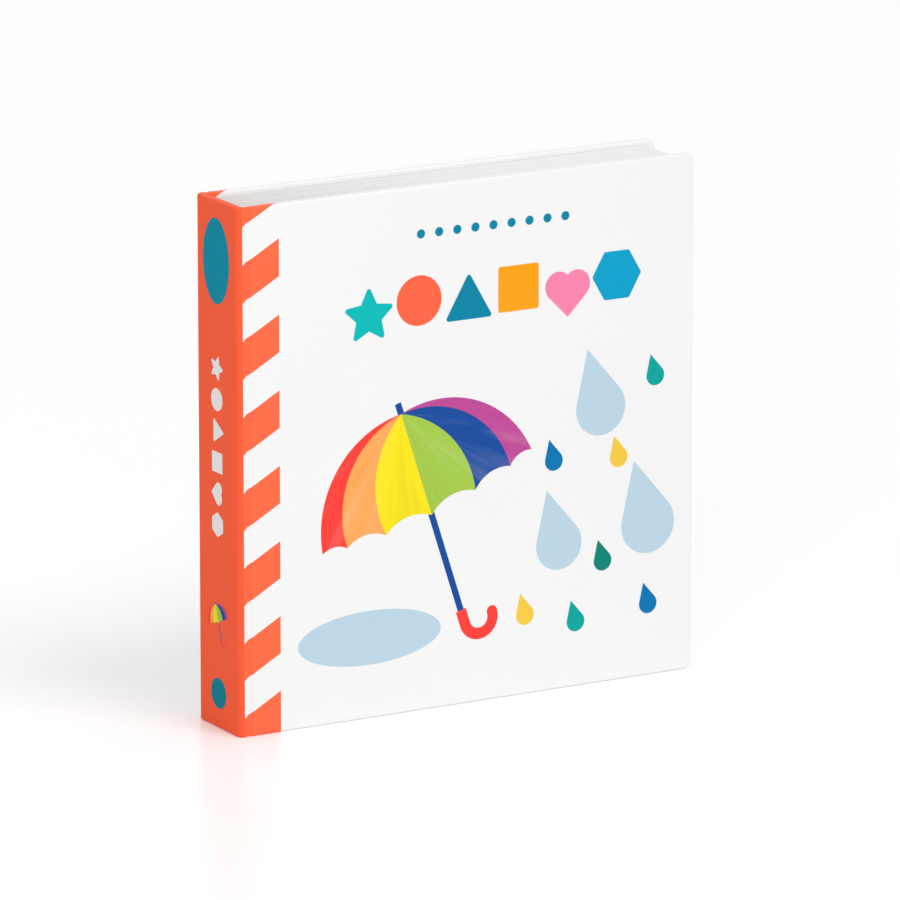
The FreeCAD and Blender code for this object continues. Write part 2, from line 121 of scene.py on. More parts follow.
@dataclass(frozen=True, eq=False)
class Value:
    """A number that varies over a surface, so that shader maths reads as an expression."""

    nodes: "Nodes"
    socket: NodeSocket

    def maths(self, operation: str, first: Any, second: Any = 0.0) -> "Value":
        """Add one Math node.

        Args:
            operation: The Math node's operation.
            first: The first number or value.
            second: The second number or value.

        Returns:
            The result.
        """
        return self.nodes.value("ShaderNodeMath", {"operation": operation}, {0: first, 1: second})

    def __add__(self, other: Any) -> "Value":
        """Sum of the two."""
        return self.maths("ADD", self, other)

    def __radd__(self, other: Any) -> "Value":
        """Sum of the two."""
        return self.maths("ADD", other, self)

    def __sub__(self, other: Any) -> "Value":
        """This less the other."""
        return self.maths("SUBTRACT", self, other)

    def __rsub__(self, other: Any) -> "Value":
        """The other less this."""
        return self.maths("SUBTRACT", other, self)

    def __mul__(self, other: Any) -> "Value":
        """Product of the two."""
        return self.maths("MULTIPLY", self, other)

    def __rmul__(self, other: Any) -> "Value":
        """Product of the two."""
        return self.maths("MULTIPLY", other, self)

    def __gt__(self, other: Any) -> "Value":
        """1 where this is the larger, and 0 elsewhere."""
        return self.maths("GREATER_THAN", self, other)


class Nodes:
    """A shader or geometry tree, and the one way in which nodes are added to it."""

    def __init__(self, tree: NodeTree) -> None:
        """Take a tree and empty it.

        Args:
            tree: The tree to fill.
        """
        self.tree = tree
        tree.nodes.clear()

    def add(self, kind: str, settings: dict[str, Any], inputs: dict[Any, Any]) -> Node:
        """Add a node.

        Args:
            kind: The node's type.
            settings: Its properties, and a ramp's "stops" as pairs of place and colour.
            inputs: Values, or links, by the socket's name or number.

        Returns:
            The node.
        """
        node = self.tree.nodes.new(kind)
        for name, setting in settings.items():
            if name == "stops":
                self._set_stops(node.color_ramp.elements, setting)
            else:
                setattr(node, name, setting)
        for key, given in inputs.items():
            source = given.socket if isinstance(given, Value) else given
            if isinstance(source, NodeSocket):
                self.tree.links.new(source, node.inputs[key])
            else:
                node.inputs[key].default_value = source
        return node

    @staticmethod
    def _set_stops(elements: Any, stops: Sequence[Stop]) -> None:
        """Set a colour ramp's stops.

        Args:
            elements: The ramp's elements, two of them at first.
            stops: Pairs of place and linear colour, from low to high.
        """
        while len(elements) < len(stops):
            elements.new(1.0)
        for element, (place, colour) in zip(elements, stops):
            element.position, element.color = place, colour

    def value(self, kind: str, settings: dict[str, Any], inputs: dict[Any, Any]) -> Value:
        """Add a node and take its first output as a number.

        Args:
            kind: The node's type.
            settings: Its properties.
            inputs: Values, or links, by the socket's name or number.

        Returns:
            The output.
        """
        return Value(self, self.add(kind, settings, inputs).outputs[0])

    def noise(self, place: Any, size: float, detail: float = 2.0, warp: float = 0.0) -> Value:
        """Soft noise around 0.5.

        Args:
            place: The coordinates, in metres.
            size: About how large one blot is, in metres.
            detail: How many finer layers it has.
            warp: How far it is distorted.

        Returns:
            The noise.
        """
        inputs = {"Vector": place, "Scale": 1 / size, "Detail": detail, "Distortion": warp}
        return self.value("ShaderNodeTexNoise", {}, inputs)

    def mix(self, share: Any, first: Any, second: Any) -> NodeSocket:
        """Mix two colours.

        Args:
            share: How much of the second there is.
            first: The colour at 0.
            second: The colour at 1.

        Returns:
            The mixed colour.
        """
        inputs = {0: share, 6: first, 7: second}
        return self.add("ShaderNodeMix", {"data_type": "RGBA"}, inputs).outputs[2]

    def stretched(self, place: Any, factors: Sequence[float]) -> NodeSocket:
        """Multiply coordinates by three factors.

        Args:
            place: The coordinates.
            factors: One factor for each axis.

        Returns:
            The new coordinates.
        """
        inputs = {0: place, 1: tuple(factors)}
        return self.add("ShaderNodeVectorMath", {"operation": "MULTIPLY"}, inputs).outputs[0]


# Finishes


class Coordinates(Enum):
    """What a finish's pattern is laid out on."""

    OBJECT = "object"
    SHEET = "sheet"


SHEET_SPAN = 0.2
FILM_ROUGHNESS = 0.34
FRONT_SHEEN = 0.12
SPINE_SHEEN = 0.02


@dataclass(frozen=True)
class Finish:
    """What a surface is made of or printed with."""

    name: str
    colour: Colour
    roughness: float
    specular: float = FRONT_SHEEN
    coordinates: Coordinates = Coordinates.OBJECT

    def material(self) -> Material:
        """Find or build the finish's material.

        Returns:
            The material.
        """
        material = bpy.data.materials.get(self.name)
        if material is None:
            material = bpy.data.materials.new(self.name)
            material.use_nodes = True
            material.diffuse_color = linear(self.colour)
            nodes = Nodes(material.node_tree)
            inputs = {"Specular IOR Level": self.specular} | self.surface(nodes, self.place(nodes))
            shader = nodes.add("ShaderNodeBsdfPrincipled", {}, inputs)
            nodes.add("ShaderNodeOutputMaterial", {}, {"Surface": shader.outputs[0]})
        return material

    def place(self, nodes: Nodes) -> NodeSocket:
        """The coordinates that the pattern is laid out on.

        Args:
            nodes: The material's nodes.

        Returns:
            Coordinates in metres.
        """
        if self.coordinates is Coordinates.OBJECT:
            return nodes.add("ShaderNodeTexCoord", {}, {}).outputs["Object"]
        layout = nodes.add("ShaderNodeUVMap", {"uv_map": "sheet"}, {}).outputs[0]
        return nodes.stretched(layout, (SHEET_SPAN,) * 3)

    def surface(self, nodes: Nodes, place: NodeSocket) -> Links:
        """The shader's inputs, which each kind of finish gives.

        Args:
            nodes: The material's nodes.
            place: Coordinates in metres.

        Returns:
            Inputs by the name of the shader's socket.
        """
        raise NotImplementedError


@dataclass(frozen=True)
class Laminate(Finish):
    """Printed paper under a thin film that shows a little of the board's unevenness."""

    cloud: float = 0.045
    grain: float = 0.0004
    peel: float = 0.0016
    dent: float = 0.000006
    spread: float = 0.02
    grain_share: float = 0.3
    grain_dent: float = 0.25
    cloud_gloss: float = 0.10
    peel_gloss: float = 0.06

    def surface(self, nodes: Nodes, place: NodeSocket) -> Links:
        """Even ink with a faint cloud and grain, and a film that is not quite level.

        Args:
            nodes: The material's nodes.
            place: Coordinates in metres.

        Returns:
            Inputs by the name of the shader's socket.
        """
        cloud = nodes.noise(place, self.cloud, detail=3)
        grain, peel = nodes.noise(place, self.grain), nodes.noise(place, self.peel)
        ink = linear(self.colour)
        share = cloud * (1 - self.grain_share) + grain * self.grain_share
        height = peel + grain * self.grain_dent
        bump = nodes.add("ShaderNodeBump", {}, {"Distance": self.dent, "Height": height})
        smooth = self.roughness - (self.cloud_gloss + self.peel_gloss) / 2
        return {
            "Base Color": nodes.mix(share, toned(ink, 1 - self.spread), toned(ink, 1 + self.spread)),
            "Roughness": cloud * self.cloud_gloss + peel * self.peel_gloss + smooth,
            "Normal": bump.outputs[0],
        }


@dataclass(frozen=True)
class Canopy(Finish):
    """The printed picture of a taut nylon panel: creases that run from the umbrella's tip."""

    tip: Pair = (0.0, 0.0)
    lean: float = 0.0
    fan: Triple = (0.05, 0.16, 0.01)
    crease: float = 0.0045
    fold: float = 0.016
    crease_share: float = 0.45
    # Each tone has its place on the ramp, its gain and its share of white.
    tones: Sequence[Triple] = ((0.28, 0.84, 0.0), (0.46, 1.0, 0.0), (0.56, 1.03, 0.0), (0.74, 1.0, 0.10))
    peel: float = 0.0016
    peel_gloss: float = 0.08
    dent: float = 0.000006

    def surface(self, nodes: Nodes, place: NodeSocket) -> Links:
        """Light and dark streaks along the ribs, with a soft sheen across each panel.

        Args:
            nodes: The material's nodes.
            place: Coordinates in metres.

        Returns:
            Inputs by the name of the shader's socket.
        """
        settings = {"vector_type": "TEXTURE"}
        inputs = {"Vector": place, "Location": (self.tip[0], 0, self.tip[1]), "Rotation": (0, self.lean, 0)}
        local = nodes.add("ShaderNodeMapping", settings, inputs).outputs[0]
        parts = nodes.add("ShaderNodeSeparateXYZ", {}, {0: local})
        across, down = Value(nodes, parts.outputs[0]), -1.0 * Value(nodes, parts.outputs[2])
        turn = across.maths("ARCTAN2", across, down)
        reach = across.maths("SQRT", across * across + down * down)
        spread = {0: turn * self.fan[0], 1: reach * self.fan[1], 2: self.fan[2]}
        fan = nodes.add("ShaderNodeCombineXYZ", {}, spread).outputs[0]
        crease = nodes.noise(fan, self.crease, detail=4, warp=0.35)
        fold = nodes.noise(fan, self.fold, warp=0.6)
        ink = linear(self.colour)
        tone = crease * self.crease_share + fold * (1 - self.crease_share)
        stops = [(at, toned(ink, gain, lift)) for at, gain, lift in self.tones]
        colour = nodes.add("ShaderNodeValToRGB", {"stops": stops}, {0: tone}).outputs[0]
        peel = nodes.noise(place, self.peel)
        bump = nodes.add("ShaderNodeBump", {}, {"Distance": self.dent, "Height": peel})
        return {
            "Base Color": colour,
            "Roughness": peel * self.peel_gloss + (self.roughness - self.peel_gloss / 2),
            "Normal": bump.outputs[0],
        }


@dataclass(frozen=True)
class Fibre(Finish):
    """Uncoated paper or board, with fibres and flecks."""

    fleck: float = 0.0007
    stretch: Triple = (1.0, 1.0, 1.0)
    contrast: float = 0.06
    dent: float = 0.00002
    clump: float = 3
    fleck_share: float = 0.3
    fleck_gloss: float = 0.12

    def surface(self, nodes: Nodes, place: NodeSocket) -> Links:
        """Fibres of slightly different tone that stand a little proud.

        Args:
            nodes: The material's nodes.
            place: Coordinates in metres.

        Returns:
            Inputs by the name of the shader's socket.
        """
        drawn = nodes.stretched(place, self.stretch)
        fibres = nodes.noise(drawn, self.fleck, detail=4, warp=0.4)
        flecks = nodes.noise(place, self.fleck * self.clump, detail=3)
        ink = linear(self.colour)
        tone = fibres * (1 - self.fleck_share) + flecks * self.fleck_share
        bump = nodes.add("ShaderNodeBump", {}, {"Distance": self.dent, "Height": tone})
        return {
            "Base Color": nodes.mix(tone, toned(ink, 1 - self.contrast), toned(ink, 1 + self.contrast)),
            "Roughness": flecks * self.fleck_gloss + (self.roughness - self.fleck_gloss / 2),
            "Normal": bump.outputs[0],
        }


WHITE = (245, 245, 245)
ORANGE = (254, 110, 72)
PALE_BLUE = (190, 216, 231)
SHEET_WHITE = Laminate("laminated_white_sheet", WHITE, FILM_ROUGHNESS)
SHEET_ORANGE = Laminate("laminated_orange_stripe", ORANGE, FILM_ROUGHNESS)
JOINT_WHITE = Laminate("laminated_white_joint", WHITE, FILM_ROUGHNESS, coordinates=Coordinates.SHEET)
JOINT_ORANGE = Laminate("laminated_orange_joint", ORANGE, FILM_ROUGHNESS, coordinates=Coordinates.SHEET)
SPINE_ORANGE = Laminate("laminated_orange_spine", (255, 99, 62), FILM_ROUGHNESS, SPINE_SHEEN)
ENDPAPER = Fibre("endpaper_pale_blue", PALE_BLUE, 0.62, fleck=0.0009, contrast=0.03)
ENDPAPER_JOINT = replace(ENDPAPER, name="endpaper_pale_blue_joint", coordinates=Coordinates.SHEET)
GREYBOARD = Fibre("greyboard", (176, 168, 156), 0.85, fleck=0.0008, contrast=0.16, dent=0.00004)
LEAF_EDGE = Fibre("leaf_edge", (244, 244, 243), 0.7, fleck=0.0005, stretch=(0.08, 3.0, 0.08),
                  contrast=0.008)
LEAF_FACE = Laminate("leaf_face", (238, 238, 238), 0.5)
GLUE = Laminate("spine_glue", (228, 219, 194), 0.38, cloud=0.006, peel=0.004, dent=0.0002, spread=0.05)


# Sheet of the case


class Side(Enum):
    """A half of the case, by the way that its outer face looks along Y."""

    FRONT = -1
    BACK = 1

    @property
    def prefix(self) -> str:
        """The start of the names of this half's nodes."""
        return self.name.lower()


@dataclass(frozen=True)
class ClosedBook:
    """The closed book's outside, read from the frame."""

    spine_x: float
    half_thickness: float
    width: float
    height: float

    @classmethod
    def from_frame(cls) -> "ClosedBook":
        """Read the book's outside from the spine and the front cover.

        Returns:
            The closed book.
        """
        spine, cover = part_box("spine_wrap"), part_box("front_cover_wrap")
        return cls(spine[0].x, -cover[0].y, cover[1].x - spine[0].x, cover[1].z)

    def point(self, side: Side, s: float, depth: float, z: float) -> Vector:
        """Place a point on or under a cover.

        Args:
            side: The half of the case.
            s: Distance from the spine's outer face.
            depth: Depth under the cover's outer face.
            z: Height.

        Returns:
            The point.
        """
        return Vector((self.spine_x + s, side.value * (self.half_thickness - depth), z))


@dataclass(frozen=True)
class Fold:
    """The way that the sheet turns in over an edge."""

    thickness: float
    arris: float
    reach: float
    steps: int = 6
    support: float = 0.15 * MM

    @property
    def quarter(self) -> float:
        """Length of the sheet around one arris."""
        return self.arris * math.pi / 2

    @property
    def wall(self) -> float:
        """Length of the flat between the two arrises."""
        return self.thickness - 2 * self.arris

    def stops(self) -> list[float]:
        """Where the sheet needs a line.

        Returns:
            Distances from the start of the first arris.
        """
        bend = [self.quarter * step / self.steps for step in range(self.steps + 1)]
        second = self.quarter + self.wall
        flat = [self.quarter + self.support, second - self.support] if self.wall > 3 * self.support else []
        far = [second + place for place in bend]
        end = self.reach - self.arris
        stops = [-self.support] + bend + flat + far + [far[-1] + self.support, far[-1] + end]
        return [stops[0]] + [b for a, b in zip(stops, stops[1:]) if b - a > HAIR]

    def place(self, travelled: float) -> Pair:
        """Where a point of the sheet ends up.

        Args:
            travelled: Its distance from the start of the first arris.

        Returns:
            How far it is out of the edge, below 0 inside it, and its depth.
        """
        a = self.arris
        if travelled <= 0:
            return travelled - a, 0.0
        if travelled < self.quarter:
            angle = travelled / a
            return a * (math.sin(angle) - 1), a * (1 - math.cos(angle))
        if travelled < self.quarter + self.wall:
            return 0.0, a + travelled - self.quarter
        angle = (travelled - self.quarter - self.wall) / a
        if angle < math.pi / 2:
            return a * (math.cos(angle) - 1), self.thickness - a + a * math.sin(angle)
        return -a - (travelled - 2 * self.quarter - self.wall), self.thickness


@dataclass(frozen=True)
class Stripes:
    """Slanting orange stripes that run from the spine to a line along it."""

    end: float = 12.7 * MM
    slope: float = 0.56
    pitch: float = 20.69 * MM
    height: float = 10.31 * MM
    foot: float = 1.27 * MM
    full_tail: bool = True

    def _above_foot(self, u: float, v: float) -> float:
        """Height over the first stripe's lower edge, at a place of the flat sheet."""
        return v - self.foot - self.slope * (u - self.end)

    def cut(self, sheet: BMesh, keep: Callable[[BMFace], bool]) -> None:
        """Cut the flat sheet along every edge of a stripe.

        Args:
            sheet: The flat sheet, in the plane of its first two axes.
            keep: Says of a face whether it stays whole.
        """
        self._slice(sheet, sheet.faces, Vector((self.end, 0, 0)), Vector((1, 0, 0)))
        across = Vector((-self.slope, 1, 0)).normalized()
        levels = [self._above_foot(vert.co.x, vert.co.y) / self.pitch for vert in sheet.verts]
        for number in range(math.floor(min(levels)), math.ceil(max(levels)) + 1):
            for edge in (0.0, self.height):
                printed = [face for face in sheet.faces if self._is_printed(face) and not keep(face)]
                start = Vector((self.end, self.foot + number * self.pitch + edge, 0))
                self._slice(sheet, printed, start, across)

    def _is_printed(self, face: BMFace) -> bool:
        """Whether a face lies between the spine and the end of the stripes."""
        return face.calc_center_median().x < self.end

    @staticmethod
    def _slice(sheet: BMesh, faces: Sequence[BMFace], start: Vector, across: Vector) -> None:
        """Cut some faces along a line.

        Args:
            sheet: The flat sheet.
            faces: The faces to cut.
            start: A point of the line.
            across: The direction square to the line.
        """
        parts = {part for face in faces for part in (*face.verts, *face.edges)}
        bmesh.ops.bisect_plane(sheet, geom=[*faces, *parts], dist=HAIR, plane_co=start, plane_no=across)

    def colours(self, face: BMFace) -> bool:
        """Whether a face of the cut sheet is orange.

        Args:
            face: The face, which no edge of a stripe crosses.

        Returns:
            True in a stripe, and in a full tail.
        """
        middle = face.calc_center_median()
        above = self._above_foot(middle.x, middle.y)
        tail = self.full_tail and above < 0
        return middle.x < self.end and (tail or above % self.pitch < self.height)


def chart(sheet: BMesh, axes: tuple[int, int] = (0, 1), start: Pair = (0.1, 0.1)) -> None:
    """Keep a sheet's layout as the UV map "sheet".

    Args:
        sheet: The sheet, as it lies now.
        axes: The numbers of the axes that it lies along.
        start: Where its zero goes on the map.
    """
    layer = sheet.loops.layers.uv.new("sheet")
    for face in sheet.faces:
        for loop in face.loops:
            place = loop.vert.co
            loop[layer].uv = [place[axis] / SHEET_SPAN + first for axis, first in zip(axes, start)]


def finished(name: str, shape: BMesh, finishes: Sequence[Finish]) -> Object:
    """Turn a shape into a piece with its materials.

    Args:
        name: The piece's name.
        shape: Its faces, which are freed.
        finishes: One finish for each material slot.

    Returns:
        The piece.
    """
    mesh = bpy.data.meshes.new(name)
    for face in shape.faces:
        face.smooth = True
    shape.to_mesh(mesh)
    shape.free()
    for finish in finishes:
        mesh.materials.append(finish.material())
    piece = placed(name, mesh)
    return piece


def dress(node: str, finish: Finish) -> None:
    """Give a CAD node its material.

    Args:
        node: The node's name.
        finish: Its finish.
    """
    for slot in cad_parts[node].material_slots:
        slot.link = "OBJECT"
        slot.material = finish.material()


@dataclass
class CaseHalf:
    """A cover with the joint beside it: the sheet, its print and the endpaper across the hinge."""

    book: ClosedBook
    side: Side
    stripes: Stripes = field(default_factory=Stripes)
    joint_start: float = 1.7 * MM
    joint_end: float = 4.7 * MM
    corner: float = 2.0 * MM
    corner_steps: int = 10
    fold: Fold = Fold(2.2 * MM, 0.55 * MM, 13.0 * MM)
    joint_fold: Fold = Fold(0.4 * MM, 0.2 * MM, 13.0 * MM, support=0.1 * MM)
    groove_depth: float = 0.5 * MM
    groove: Pair = (1.85 * MM, 4.45 * MM)
    joint_columns: int = 30
    single: float = 0.1 * MM
    weld: float = 0.002 * MM
    strip_start: float = 2.2 * MM
    strip_depths: Pair = (2.28 * MM, 2.2 * MM)
    strip_dip: float = 0.35 * MM
    strip_gap: float = 0.03 * MM
    strip_ends: Pair = (1.7 * MM, 143.3 * MM)
    strip_thickness: float = 0.2 * MM
    strip_columns: int = 18

    def build(self) -> list[Object]:
        """Make the half's pieces and dress its CAD nodes.

        Returns:
            The new pieces.
        """
        pieces = [self.cover_sheet(), self.joint_sheet(), self.endpaper_strip()]
        self.dress()
        return pieces

    def _ring(self, out: float) -> list[Vector]:
        """A line around the cover's tail, fore edge and head, on the flat sheet.

        Args:
            out: Distance from the core, which has its corners in the middles of the cover's corners.

        Returns:
            Points from the tail's spine end round to the head's.
        """
        fore, low, high = self.book.width - self.corner, self.corner, self.book.height - self.corner
        points = [Vector((self.joint_end, low - out, 0))]
        for first, middle in ((-90, (fore, low)), (0, (fore, high))):
            for step in range(self.corner_steps + 1):
                angle = math.radians(first + 90 * step / self.corner_steps)
                points.append(Vector((*middle, 0)) + out * Vector((math.cos(angle), math.sin(angle), 0)))
        return points + [Vector((self.joint_end, high + out, 0))]

    def _folded_cover(self, flat: Vector) -> Vector:
        """Where a point of the flat sheet lies on the covered board.

        Args:
            flat: The point on the flat sheet.

        Returns:
            The point in the book.
        """
        width, height = self.book.width, self.book.height
        core = Vector((min(flat.x, width - self.corner),
                       min(max(flat.y, self.corner), height - self.corner)))
        away = flat.xy - core
        if away.length < HAIR:
            return self.book.point(self.side, flat.x, 0.0, flat.y)
        out, depth = self.fold.place(away.length - self.corner + self.fold.arris)
        reach = self.corner + out
        if reach >= 0:
            s, z = core + away.normalized() * reach
        else:
            inward = [-reach if abs(part) > HAIR else 0.0 for part in away]
            s, z = core.x - inward[0], core.y - math.copysign(inward[1], away.y)
            s, z = min(s, width + out), min(max(z, -out), height + out)
        return self.book.point(self.side, s, depth, z)

    def _fold_up(self, sheet: BMesh, place: Callable[[Vector], Vector]) -> None:
        """Fold the flat sheet into place with its printed side outwards.

        Args:
            sheet: The flat sheet.
            place: Gives a flat point's place in the book.
        """
        for vert in sheet.verts:
            vert.co = place(vert.co)
        bmesh.ops.remove_doubles(sheet, verts=sheet.verts, dist=self.weld)
        if self.side is Side.BACK:
            bmesh.ops.reverse_faces(sheet, faces=sheet.faces)

    def _print(self, sheet: BMesh, keep: Callable[[BMFace], bool]) -> None:
        """Print the stripes on the flat sheet and keep its layout.

        Args:
            sheet: The flat sheet.
            keep: Says of a face whether it stays whole and white.
        """
        self.stripes.cut(sheet, keep)
        for face in sheet.faces:
            face.material_index = int(self.stripes.colours(face) and not keep(face))
        chart(sheet)

    def cover_sheet(self) -> Object:
        """The printed sheet around the cover's board, turned in over three edges and down its end.

        Returns:
            The piece, riding on its cover.
        """
        sheet = bmesh.new()
        start = self.corner - self.fold.arris
        rings = [[sheet.verts.new(point) for point in self._ring(out)]
                 for out in [0.0] + [start + stop for stop in self.fold.stops()]]
        core, turn = rings[0], self.corner_steps + 1
        sheet.faces.new([core[0], core[turn], core[-2], core[-1]])
        for inner, outer in zip(rings, rings[1:]):
            for a, b, c, d in zip(inner, outer, outer[1:], inner[1:]):
                sheet.faces.new([a, b, c, d])
        bmesh.ops.remove_doubles(sheet, verts=sheet.verts, dist=HAIR)
        self._print(sheet, lambda face: False)
        self._fold_up(sheet, self._folded_cover)
        self._close_end(sheet)
        prefix = self.side.prefix
        piece = finished(f"{prefix}_cover_sheet", sheet, (SHEET_WHITE, SHEET_ORANGE))
        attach(piece, f"{prefix}_cover")
        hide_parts(f"{prefix}_cover_wrap", f"{prefix}_cover_stripes")
        return piece

    def _close_end(self, sheet: BMesh) -> None:
        """Close the folded sheet at the cover's end beside the joint.

        Args:
            sheet: The folded sheet.
        """
        low, high = self.fold.arris / 2, self.fold.thickness - self.fold.arris / 2
        a, b, c, d = (sheet.verts.new(self.book.point(self.side, self.joint_end, depth, z))
                      for z in (low, self.book.height - low) for depth in (low, high))
        cap = sheet.faces.new([a, c, d, b] if self.side is Side.FRONT else [a, b, d, c])
        cap.material_index = 1

    def _groove_line(self) -> list[Pair]:
        """The joint's groove from the spine to the cover.

        Returns:
            Pairs of s and depth.
        """
        start, end = self.groove
        line = []
        for column in range(self.joint_columns + 1):
            s = self.joint_start + (self.joint_end - self.joint_start) * column / self.joint_columns
            share = min(max((s - start) / (end - start), 0.0), 1.0)
            line.append((s, self.groove_depth * (1 - math.cos(2 * math.pi * share)) / 2))
        return line

    def _strip_depth(self, s: float) -> float:
        """Depth of the endpaper's outer side across the inner joint.

        Args:
            s: Distance from the spine's outer face.

        Returns:
            The depth under the cover's outer face.
        """
        share = (s - self.strip_start) / (self.joint_end - self.strip_start)
        ease = share * share * (3 - 2 * share)
        near = self.strip_depths[0] + (self.strip_depths[1] - self.strip_depths[0]) * ease
        return near - self.strip_dip * math.sin(math.pi * share) ** 2

    def _turned_in(self, s: float, dip: float, depth: float) -> float:
        """Press the turn-in of the joint's sheet against the endpaper.

        Args:
            s: Distance from the spine's outer face.
            dip: Depth of the groove there.
            depth: Depth in the joint's fold before it is pressed.

        Returns:
            The depth under the cover's outer face.
        """
        fold = self.joint_fold
        if depth <= fold.arris or s < self.strip_start + self.strip_gap:
            return dip + depth
        share = (depth - fold.arris) / (fold.thickness - fold.arris)
        near = dip + fold.arris
        return near + (self._strip_depth(s) - self.strip_gap - near) * share

    def joint_sheet(self) -> Object:
        """The printed sheet across the joint, doubled by its turn-ins.

        Returns:
            The piece.
        """
        line, fold, height = self._groove_line(), self.joint_fold, self.book.height
        runs = [math.dist(a, b) for a, b in zip(line, line[1:])]
        columns = [self.joint_end - sum(runs[number:]) for number in range(len(line))]
        tail = [fold.arris - stop for stop in reversed(fold.stops())]
        rows = tail + [height - row for row in reversed(tail)]
        rows = [rows[0] - self.single] + rows + [rows[-1] + self.single]
        sheet = bmesh.new()
        grid = [[sheet.verts.new((u, v, 0)) for u in columns] for v in rows]
        for low, high in zip(grid, grid[1:]):
            for a, b, c, d in zip(low, low[1:], high[1:], high):
                sheet.faces.new([a, b, c, d])
        first, last = rows[1], rows[-2]
        self._print(sheet, lambda face: not first < face.calc_center_median().y < last)

        def folded(flat: Vector) -> Vector:
            """Where a point of the flat sheet lies in the joint.

            Args:
                flat: The point on the flat sheet.

            Returns:
                The point in the book.
            """
            index = min(max(sum(u <= flat.x + HAIR for u in columns) - 1, 0), len(runs) - 1)
            share = (flat.x - columns[index]) / runs[index]
            s, dip = (a + (b - a) * share for a, b in zip(line[index], line[index + 1]))
            upper = flat.y > height / 2
            beyond = (flat.y - height if upper else -flat.y) + fold.arris
            out, depth = fold.place(beyond)
            if not first - HAIR < flat.y < last + HAIR:
                out, depth = out + self.single, fold.arris
            z = height + out if upper else -out
            return self.book.point(self.side, s, self._turned_in(s, dip, depth), z)

        for corners in zip(grid[-1], grid[-1][1:], grid[0][1:], grid[0]):
            sheet.faces.new(corners)
        self._fold_up(sheet, folded)
        prefix = self.side.prefix
        piece = finished(f"{prefix}_joint_sheet", sheet, (JOINT_WHITE, JOINT_ORANGE))
        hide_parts(f"{prefix}_joint_paper", f"{prefix}_joint_stripes")
        return self._bending(piece)

    def _bending(self, piece: Object) -> Object:
        """Bake a piece's place into its mesh; nothing makes it bend across the joint.

        Args:
            piece: The piece, whose mesh is final.

        Returns:
            The same piece.
        """
        ends = (self.joint_start, self.joint_end)
        places = [self.book.point(self.side, s, 0.0, self.book.height / 2) for s in ends]
        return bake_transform(piece) or piece

    def endpaper_strip(self) -> Object:
        """The endpaper across the inner joint, pressed in between the boards.

        Returns:
            The piece.
        """
        shape = bmesh.new()
        low, high = self.strip_ends
        loops = []
        for column in range(self.strip_columns + 1):
            s = self.strip_start + (self.joint_end - self.strip_start) * column / self.strip_columns
            near = self._strip_depth(s)
            far = near + self.strip_thickness
            corners = ((near, low), (near, high), (far, high), (far, low))
            loops.append([shape.verts.new(self.book.point(self.side, s, d, z)) for d, z in corners])
        shape.faces.new(loops[0])
        shape.faces.new(reversed(loops[-1]))
        for one, other in zip(loops, loops[1:]):
            for corner in range(4):
                beside = (corner + 1) % 4
                shape.faces.new([one[corner], other[corner], other[beside], one[beside]])
        bmesh.ops.recalc_face_normals(shape, faces=shape.faces)
        chart(shape, axes=(0, 2), start=(0.5, 0.1))
        prefix = self.side.prefix
        piece = finished(f"{prefix}_inner_hinge", shape, (ENDPAPER_JOINT,))
        piece.data.shade_flat()
        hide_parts(f"{prefix}_endpaper_strip")
        return self._bending(piece)

    def dress(self) -> None:
        """Give the board and the pastedown their materials."""
        dress(f"{self.side.prefix}_board", GREYBOARD)
        dress(f"{self.side.prefix}_pastedown", ENDPAPER)


@dataclass
class SpineCase:
    """The spine: its board, the orange sheet around it and the glue behind it."""

    wrap: Finish = SPINE_ORANGE
    board: Finish = GREYBOARD
    glue: Finish = GLUE

    def build(self) -> list[Object]:
        """Dress the spine's nodes.

        Returns:
            No new pieces.
        """
        for name, finish in (("wrap", self.wrap), ("board", self.board), ("glue", self.glue)):
            dress(f"spine_{name}", finish)
        return []


# Page block


